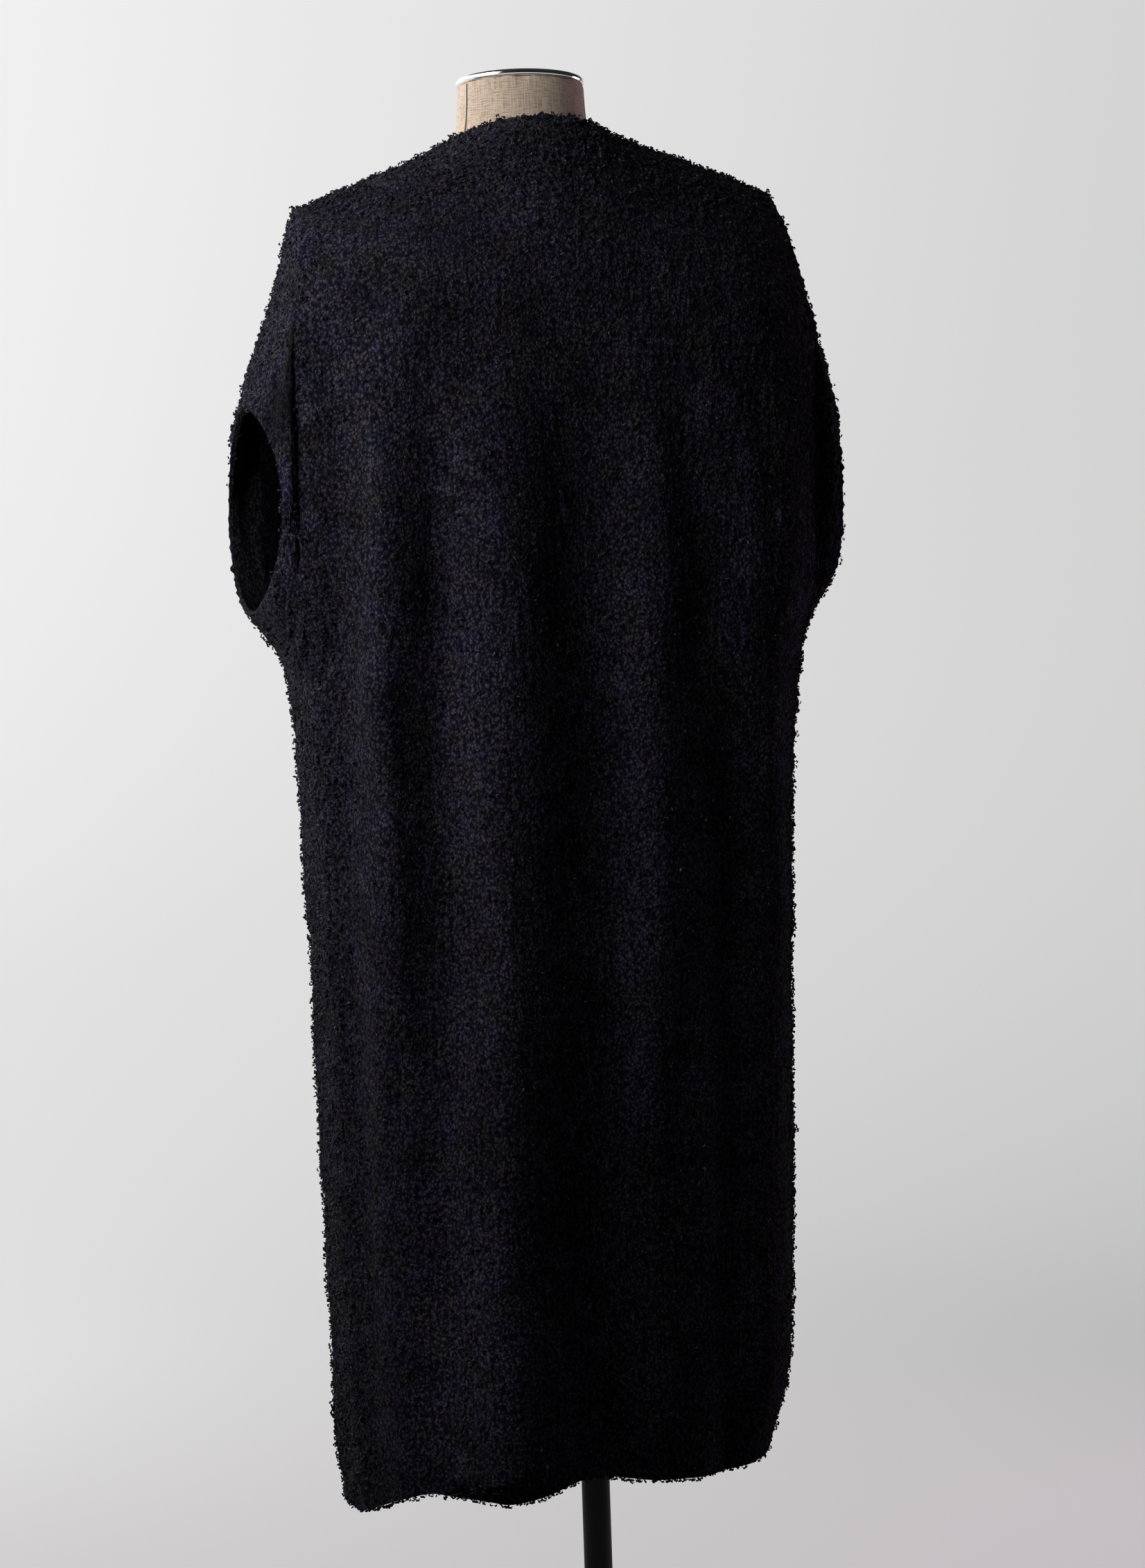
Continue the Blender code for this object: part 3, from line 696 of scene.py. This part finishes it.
def surfaceSamples(piece, nodeName, count, rng):
    mesh = piece.data
    isSleeve = nodeName.endswith("sleeve")
    mesh.calc_loop_triangles()
    corners = np.empty(len(mesh.loop_triangles) * 3, dtype=np.int32)
    mesh.loop_triangles.foreach_get("vertices", corners)
    corners = corners.reshape(-1, 3)
    points = vertexArray(mesh)
    normals = vertexArray(mesh, "normal")
    a, b, c = points[corners[:, 0]], points[corners[:, 1]], points[corners[:, 2]]
    cross = np.cross(b - a, c - a)
    area = np.linalg.norm(cross, axis=1) / 2
    flat = cross / np.maximum(area[:, None] * 2, 1e-12)
    middle = (a + b + c) / 3
    outward = unitRows(sleeveOutward(middle) if isSleeve else outwardFrom(middle))
    facing = np.einsum("ij,ij->i", flat, outward)
    weight = area * (facing > -curl["rimFacing"])  # the rim counts, the lining doesn't
    outline = outlineShare(unitRows(outwardFrom(middle)))
    isEdge = np.abs(facing) < curl["rimFacing"]
    weight *= np.where(isEdge, curl["edgeBoost"], 1 + (curl["outlineBoost"] - 1) * outline)
    seam = np.empty(len(points))
    mesh.attributes["seamShare"].data.foreach_get("value", seam)
    weight *= seam[corners].min(axis=1) < curl["seamLimit"]
    if nodeName == "left_sleeve":
        weight *= 1 - hollowShare(middle[:, 1] - garment["seamY"], middle[:, 2])
    chosen = rng.choice(len(corners), size=count, p=weight / weight.sum())
    u, v = rng.random(count), rng.random(count)
    flip = u + v > 1
    u[flip], v[flip] = 1 - u[flip], 1 - v[flip]
    w = 1 - u - v
    place = a[chosen] * w[:, None] + b[chosen] * u[:, None] + c[chosen] * v[:, None]
    out = (normals[corners[chosen, 0]] * w[:, None] + normals[corners[chosen, 1]] * u[:, None]
           + normals[corners[chosen, 2]] * v[:, None])
    atOutline = np.maximum(outline, isEdge)[chosen]
    # the painted light and shade under each curl
    paintedTone = np.empty(len(points))
    mesh.attributes["paintedLightAndShade"].data.foreach_get("value", paintedTone)
    return place, unitRows(out), atOutline, paintedTone[corners[chosen, 0]]


def tubesMesh(name, centre, axes, radius, yarn, begin, span, tone):
    # One little tube for each curl, all in one mesh.
    count = len(centre)
    first, second, third = axes
    steps, sides = curl["pathSteps"], curl["sides"]
    path = begin[:, None] + span[:, None] * np.linspace(0, 1, steps)[None, :]
    spoke = (np.cos(path)[..., None] * first[:, None, :] + np.sin(path)[..., None] * second[:, None, :])
    spine = centre[:, None, :] + spoke * radius[:, None, None]
    turn = 2 * math.pi * np.arange(sides) / sides
    ends = np.ones(steps)
    ends[0] = ends[-1] = curl["yarnEnds"]
    ring = (np.cos(turn)[None, None, :, None] * spoke[:, :, None, :]
            + np.sin(turn)[None, None, :, None] * third[:, None, None, :])
    thick = (yarn[:, None] * ends[None, :])[:, :, None, None]
    points = (spine[:, :, None, :] + ring * thick).reshape(-1, 3)
    faces = []
    for step in range(steps - 1):
        for side in range(sides):
            after = (side + 1) % sides
            low, high = step * sides, (step + 1) * sides
            faces.append([low + side, high + side, high + after, low + after])
    quads = np.array(faces)
    size = steps * sides
    shift = (np.arange(count) * size)[:, None]
    quadCorners = (quads.reshape(1, -1) + shift).reshape(-1)
    mesh = bpy.data.meshes.new(name)
    mesh.vertices.add(len(points))
    mesh.vertices.foreach_set("co", points.ravel())
    mesh.loops.add(len(quadCorners))
    mesh.loops.foreach_set("vertex_index", quadCorners.astype(np.int32))
    mesh.polygons.add(len(quadCorners) // 4)
    mesh.polygons.foreach_set("loop_start", np.arange(0, len(quadCorners), 4, dtype=np.int32))
    mesh.update(calc_edges=True)
    mesh.validate()
    mesh.shade_smooth()
    tones = mesh.attributes.new("yarnTone", "FLOAT", "POINT")
    tones.data.foreach_set("value", np.repeat(tone, size).astype(np.float32))
    piece = bpy.data.objects.new(name, mesh)
    bpy.context.scene.collection.objects.link(piece)
    return piece


def framesAround(out, rng, tilt):
    # Two directions in each curl's own plane, and the plane's normal.
    helper = np.where(np.abs(out[:, 2:3]) < 0.9, [[0.0, 0.0, 1.0]], [[1.0, 0.0, 0.0]])
    side = unitRows(np.cross(helper, out))
    other = np.cross(out, side)
    spin = rng.random(len(out)) * 2 * math.pi
    first = side * np.cos(spin)[:, None] + other * np.sin(spin)[:, None]
    level = np.cross(out, first)
    second = level * np.cos(tilt)[:, None] + out * np.sin(tilt)[:, None]
    return first, second, np.cross(first, second)


def addCurls(piece, name, nodeName, plan, band):
    rng = np.random.default_rng(plan["seed"])
    samples = surfaceSamples(piece, nodeName, plan["curls"], rng)
    inBand = (samples[0][:, 2] >= band[0]) & (samples[0][:, 2] < band[1])
    place, out, atOutline, paintedTone = [values[inBand] for values in samples]
    amount = len(place)
    more = curl["standingAtOutline"] - curl["standing"]
    stands = rng.random(amount) < curl["standing"] + more * atOutline

    def draw(standing, lying):
        return np.where(stands, rng.uniform(*curl[standing], amount), rng.uniform(*curl[lying], amount))

    tilt = draw("standingTilt", "tilt")
    axes = framesAround(out, rng, tilt)
    radius = draw("standingRadius", "radius")
    yarn = draw("standingYarn", "yarn")
    span = rng.uniform(*curl["span"], amount)
    cluster = np.array([noise.noise(Vector(point) / curl["clusterSize"]) for point in place])
    lift = curl["clusterHeight"] * np.clip(cluster * curl["clusterGain"], 0.0, 1.0)
    begin = rng.uniform(-curl["turn"], curl["turn"], amount) - math.pi / 2 + (2 * math.pi - span) / 2
    centre = place + out * (radius * np.sin(tilt) * curl["rise"] + yarn * 0.5 - curl["sink"] + lift)[:, None]
    # a random tone, plus the painted light and shade of the cloth beneath
    tone = np.clip(rng.random(amount) ** curl["darkShare"] + curl["paintedToneShare"] * (paintedTone - 1), 0, 1)
    curls = tubesMesh(name, centre, axes, radius, yarn, begin, span, tone)
    curls.data.materials.append(yarnMaterial)
    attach(curls, "root")
    return curls


knitMaterial = makeKnitMaterial()
yarnMaterial = makeYarnMaterial()
linenMaterial = makeLinenMaterial()
chromeMaterial = makeMetalMaterial("brightCap", (0.86, 0.86, 0.88), 0.10, 1.0, 60.0, 0.0001)
standMaterial = makeMetalMaterial("blackStand", (0.010, 0.010, 0.011), 0.50, 0.0, 900.0, 0.0002)
standMaterial.node_tree.nodes["Principled BSDF"].inputs["Specular IOR Level"].default_value = 0.12
pipingMaterial = makeMetalMaterial("darkPiping", (0.020, 0.017, 0.015), 0.80, 0.0, 1400.0, 0.0002)
print("materials made")

panels = {  # flat is the cut's width and length, and fill is how much of that rectangle the cloth takes up
    "back_panel": {"name": "backPanel", "curls": 15200, "seed": 11, "flat": (0.62, 1.24), "fill": 0.93,
                   "bands": [(0.0, 0.78), (0.78, 1.17), (1.17, 2.0)]},
    "left_front": {"name": "leftFront", "curls": 6000, "seed": 21, "flat": (0.27, 1.24), "fill": 0.95},
    "right_front": {"name": "rightFront", "curls": 6000, "seed": 31, "flat": (0.27, 1.22), "fill": 0.95},
    "left_sleeve": {"name": "leftSleeve", "curls": 1500, "seed": 41, "flat": (0.86, 0.14), "fill": 0.5},
    "right_sleeve": {"name": "rightSleeve", "curls": 1500, "seed": 51, "flat": (0.86, 0.14), "fill": 0.5},
}
wholeHeight = [(0.0, 2.0)]
for nodeName, plan in panels.items():
    panel = knitPanel(nodeName, plan["name"], knitMaterial)
    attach(panel, "root")
    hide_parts(nodeName)
    for letter, band in zip("ABC", plan.get("bands", wholeHeight)):
        addCurls(panel, plan["name"] + "Curls" + letter, nodeName, plan, band)
    panel.data.calc_loop_triangles()
    print(plan["name"], "made with", len(panel.data.loop_triangles), "triangles")
print("knit made")


# ---- dress form ----
formPlan = {"levels": 2, "seamY": -0.035, "coverRadius": 0.10, "sharpEdge": 60.0, "edgeHold": 0.9,
            "smoothAngle": 50.0}
neckFit = {"from": 1.480, "to": 1.525, "shift": 0.0055, "grow": 0.04}


def coverPlace(points):
    # How far round the form and up it each point lies, for the weave.
    x = points[:, 0] - garment["middleX"]
    y = points[:, 1] - formPlan["seamY"]
    return np.arctan2(x, y) * formPlan["coverRadius"], points[:, 2]


def fitNeck(piece):
    # The form's neck leans a few millimetres towards the garment's left and is a little wider.
    points = vertexArray(piece.data)
    share = ease((points[:, 2] - neckFit["from"]) / (neckFit["to"] - neckFit["from"]))
    points[:, 0] += share * (neckFit["shift"] + neckFit["grow"] * (points[:, 0] - garment["middleX"]))
    piece.data.vertices.foreach_set("co", points.ravel())
    piece.data.update()


def makeForm():
    body = copyOfNode("torso", "formBody")
    markSharpEdges(body, formPlan["sharpEdge"], formPlan["edgeHold"])
    applyModifier(body, "SUBSURF", levels=formPlan["levels"], render_levels=formPlan["levels"])
    fitNeck(body)
    pick(body)
    bpy.ops.object.shade_smooth_by_angle(angle=math.radians(formPlan["smoothAngle"]))
    addMap(body, "coverMap", *coverPlace(vertexArray(body.data)))
    body.data.materials.append(linenMaterial)
    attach(body, "root")
    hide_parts("torso")
    return body


formBody = makeForm()


# A corded seam runs down each side of the form's neck, a little behind the widest place.
piping = {"radius": 0.0007, "turn": 17.0, "top": 1.5585, "bottom": 1.490, "rings": 22, "sides": 8}


def addPiping(name, side):
    turn = math.radians(piping["turn"])
    direction = Vector((side * math.cos(turn), math.sin(turn), 0.0))
    spine = []
    for step in range(piping["rings"]):
        height = piping["top"] + (piping["bottom"] - piping["top"]) * step / (piping["rings"] - 1)
        start = Vector((garment["middleX"], formPlan["seamY"], height))
        hit, point, _, _ = formBody.ray_cast(start + direction * 0.5, -direction)
        if hit:
            spine.append(point)
    # The faces are listed here because the extrude operator gives them another order in each run.
    sides = piping["sides"]
    rim = [Vector((math.cos(turned), math.sin(turned), 0.0)) * piping["radius"]
           for turned in (math.tau * step / sides for step in range(sides))]
    lastRing = (len(spine) - 1) * sides
    faces = [tuple(range(sides)), tuple(reversed(range(lastRing, lastRing + sides)))]
    for ring in range(0, lastRing, sides):
        for step in range(sides):
            after = (step + 1) % sides
            faces.append((ring + step, ring + sides + step, ring + sides + after, ring + after))
    mesh = bpy.data.meshes.new(name)
    mesh.from_pydata([centre + offset for centre in spine for offset in rim], [], faces)
    piece = bpy.data.objects.new(name, mesh)
    bpy.context.scene.collection.objects.link(piece)
    finishTurned(piece, pipingMaterial, smoothAngle=40.0)


stand = {  # each turned piece has its solid's size, and its own rounded edges
    "neck_cap": {"name": "neckCap", "rounding": 0.0024, "sides": 128, "slot": "bright_cap"},
    "pole": {"name": "standPole", "rounding": 0.0010, "sides": 64, "slot": "black_stand"},
    "pole_socket": {"name": "poleSocket", "rounding": 0.0030, "sides": 96, "slot": "black_stand"},
    "pole_collar": {"name": "poleCollar", "rounding": 0.0030, "sides": 96, "slot": "black_stand"},
    "base_plate": {"name": "basePlate", "rounding": 0.0040, "sides": 160, "slot": "black_stand"},
}


def finishTurned(piece, material, smoothAngle):
    pick(piece)
    bpy.ops.object.transform_apply(location=True, rotation=True, scale=True)
    bpy.ops.object.shade_smooth_by_angle(angle=math.radians(smoothAngle))
    piece.data.materials.append(material)
    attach(piece, "root")


def addTurned(nodeName, plan, material):
    low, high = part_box(nodeName)
    radius = (high[0] - low[0]) / 2
    clearSelection()
    bpy.ops.mesh.primitive_cylinder_add(vertices=plan["sides"], radius=radius, depth=high[2] - low[2],
                                        location=[(a + b) / 2 for a, b in zip(low, high)])
    piece = bpy.context.object
    piece.name = piece.data.name = plan["name"]
    bpy.ops.object.mode_set(mode="EDIT")
    bpy.ops.mesh.select_all(action="DESELECT")
    bpy.ops.mesh.select_mode(type="EDGE")
    bpy.ops.mesh.edges_select_sharp(sharpness=math.radians(60))
    bpy.ops.mesh.bevel(offset=plan["rounding"], segments=4, profile=0.5)
    bpy.ops.object.mode_set(mode="OBJECT")
    finishTurned(piece, material, smoothAngle=30.0)
    if nodeName == "neck_cap":
        fitNeck(piece)
    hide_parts(nodeName)


for side, name in ((-1, "pipingRight"), (1, "pipingLeft")):
    addPiping(name, side)
for nodeName, plan in stand.items():
    addTurned(nodeName, plan, chromeMaterial if nodeName == "neck_cap" else standMaterial)
print("form and stand made")


# ---- camera, floor and light ----
camera = {
    "distance": 3.10,
    "azimuth": 164.0,
    "height": 0.935,
    "lens": 80.2,
    "roll": 1.9,
}


def makeCamera():
    turn = math.radians(camera["azimuth"])
    back = Vector((math.sin(turn), -math.cos(turn), 0.0))
    clearSelection()
    bpy.ops.object.camera_add(location=back * camera["distance"] + Vector((0, 0, camera["height"])))
    piece = bpy.context.object
    aim = (-back).to_track_quat("-Z", "Y").to_matrix()
    roll = Matrix.Rotation(-math.radians(camera["roll"]), 3, "Z")
    piece.rotation_euler = (aim @ roll).to_euler()
    piece.data.lens = camera["lens"]
    piece.data.sensor_width = 36.0
    bpy.context.scene.camera = piece


studio = {
    "floorRadius": 7.0,
    "sweep": 3.6,
    "sweepSteps": 16,
    "turnSteps": 96,
    "wallHeight": 7.0,
    "colour": (0.42, 0.415, 0.415),
    "glow": (0.26, 0.69),  # the pale sweep's own light in the middle and at the wall; the part doesn't get it
    "glowFrom": 0.8,
    "glowLevel": 1.065,
    "glowColour": (1.0, 0.995, 0.995),
    "sideSlope": 0.085,  # per metre: painted light, paler towards the garment's left
    "rise": 0.025,  # per metre: painted light, paler towards the top
    "world": 0.036,
}
softboxes = {
    "keyLight": {"place": (1.70, 0.60, 1.82), "target": (0.0, 0.0, 1.05), "power": 40.0, "size": 1.2},
    "frontLight": {"place": (1.7, -3.0, 2.6), "target": (0.0, 0.0, 0.95), "power": 90.0, "size": 1.6},
    "rimLight": {"place": (-2.12, -0.62, 1.15), "target": (-0.2, 0.0, 0.95), "power": 15.0, "size": 0.9,
                 "colour": (1.0, 0.72, 0.92)},
    "wallLight": {"place": (3.6, -3.2, 3.4), "target": (-1.0, -7.0, 2.2), "power": 90.0, "size": 2.0},
}


def spunStage(name, outline, steps, degrees):
    # An open outline, turned round the upright axis.
    mesh = bpy.data.meshes.new(name)
    mesh.from_pydata(outline, [(i, i + 1) for i in range(len(outline) - 1)], [])
    piece = bpy.data.objects.new(name, mesh)
    bpy.context.scene.collection.objects.link(piece)
    pick(piece)
    bpy.ops.object.mode_set(mode="EDIT")
    bpy.ops.mesh.select_all(action="SELECT")
    bpy.ops.mesh.spin(steps=steps, angle=math.radians(degrees), center=(0, 0, 0), axis=(0, 0, 1))
    bpy.ops.object.mode_set(mode="OBJECT")
    return piece


def makeSweepMaterial():
    material, nodes, shader = newMaterial("paleSweep", studio["colour"], 0.9)
    place = nodes.new("ShaderNodeTexCoord").outputs["Object"]
    level = addVectorMath(nodes, "MULTIPLY", place, (1.0, 1.0, 0.0))
    away = addVectorMath(nodes, "LENGTH", level, output="Value")
    glow = addNode(nodes, "ShaderNodeMapRange", away, studio["glowFrom"], studio["floorRadius"],
                   *studio["glow"], interpolation_type="SMOOTHSTEP")
    split = addNode(nodes, "ShaderNodeSeparateXYZ", place)
    slope = addMath(nodes, "MULTIPLY_ADD", split.outputs["X"], studio["sideSlope"], studio["glowLevel"])
    upward = addMath(nodes, "MULTIPLY_ADD", split.outputs["Z"], studio["rise"], slope)
    plug(shader.inputs["Emission Strength"], addMath(nodes, "MULTIPLY", glow.outputs["Result"], upward))
    shader.inputs["Emission Color"].default_value = (*studio["glowColour"], 1.0)
    shader.inputs["Specular IOR Level"].default_value = 0.0
    return material


def makeStudio():
    radius, sweep = studio["floorRadius"], studio["sweep"]
    profile = [(0.001, 0.0, 0.0), (radius - sweep, 0.0, 0.0)]
    for step in range(1, studio["sweepSteps"] + 1):
        turn = math.pi / 2 * step / studio["sweepSteps"]
        profile.append((radius - sweep * (1 - math.sin(turn)), 0.0, sweep * (1 - math.cos(turn))))
    profile.append((radius, 0.0, studio["wallHeight"]))
    backdrop = spunStage("studioSweep", profile, studio["turnSteps"], 360.0)
    bpy.ops.object.mode_set(mode="EDIT")
    bpy.ops.mesh.select_all(action="SELECT")
    bpy.ops.mesh.remove_doubles(threshold=0.002)
    bpy.ops.mesh.normals_make_consistent(inside=True)
    bpy.ops.object.mode_set(mode="OBJECT")
    backdrop.data.shade_smooth()
    backdrop.data.materials.append(makeSweepMaterial())
    backdrop.visible_diffuse = False
    world = bpy.data.worlds.new("softRoom")
    bpy.context.scene.world = world
    world.use_nodes = True
    background = world.node_tree.nodes["Background"]
    background.inputs["Color"].default_value = (1.0, 1.0, 1.0, 1.0)
    background.inputs["Strength"].default_value = studio["world"]
    bpy.context.scene.view_settings.view_transform = "Standard"


# A dark panel that only gloss sees: the chrome and the pole mirror it beside the camera.
flag = {"radius": 5.0, "low": -1.0, "high": 6.0, "from": -130.0, "to": 60.0, "steps": 40,
        "colour": (0.01, 0.01, 0.01)}


def makeFlag():
    start = math.radians(flag["from"])
    edge = [(flag["radius"] * math.sin(start), flag["radius"] * math.cos(start), z)
            for z in (flag["low"], flag["high"])]
    panel = spunStage("darkFlag", edge, flag["steps"], flag["to"] - flag["from"])
    panel.data.materials.append(newMaterial("darkFlag", flag["colour"], 0.9)[0])
    panel.visible_camera = panel.visible_diffuse = panel.visible_shadow = False
    panel.visible_transmission = panel.visible_volume_scatter = False


# A card under the key light: the light fades towards the hem.
card = {"place": (1.00, 0.35), "top": 1.18, "height": 1.3, "width": 2.4, "turn": 19.5,
        "colour": (0.01, 0.01, 0.01)}


def makeCard():
    clearSelection()
    bpy.ops.mesh.primitive_plane_add(size=1.0, location=(*card["place"], card["top"] - card["height"] / 2),
                                     rotation=(math.pi / 2, 0.0, math.radians(90 + card["turn"])))
    panel = bpy.context.object
    panel.name = panel.data.name = "keyCard"
    panel.scale = (card["width"], card["height"], 1.0)
    bpy.ops.object.transform_apply(location=True, rotation=True, scale=True)
    panel.data.materials.append(newMaterial("keyCard", card["colour"], 0.9)[0])
    panel.visible_camera = panel.visible_glossy = False


def addSoftbox(name, place, target, power, size, colour=(1.0, 1.0, 1.0)):
    clearSelection()
    bpy.ops.object.light_add(type="AREA", location=place)
    lamp = bpy.context.object
    lamp.name = name
    lamp.data.energy = power
    lamp.data.size = size
    lamp.data.color = colour
    lamp.visible_camera = False
    lamp.rotation_euler = (Vector(target) - Vector(place)).to_track_quat("-Z", "Y").to_euler()


makeCamera()
makeStudio()
makeFlag()
makeCard()
for name, softbox in softboxes.items():
    addSoftbox(name, **softbox)
print("studio made")
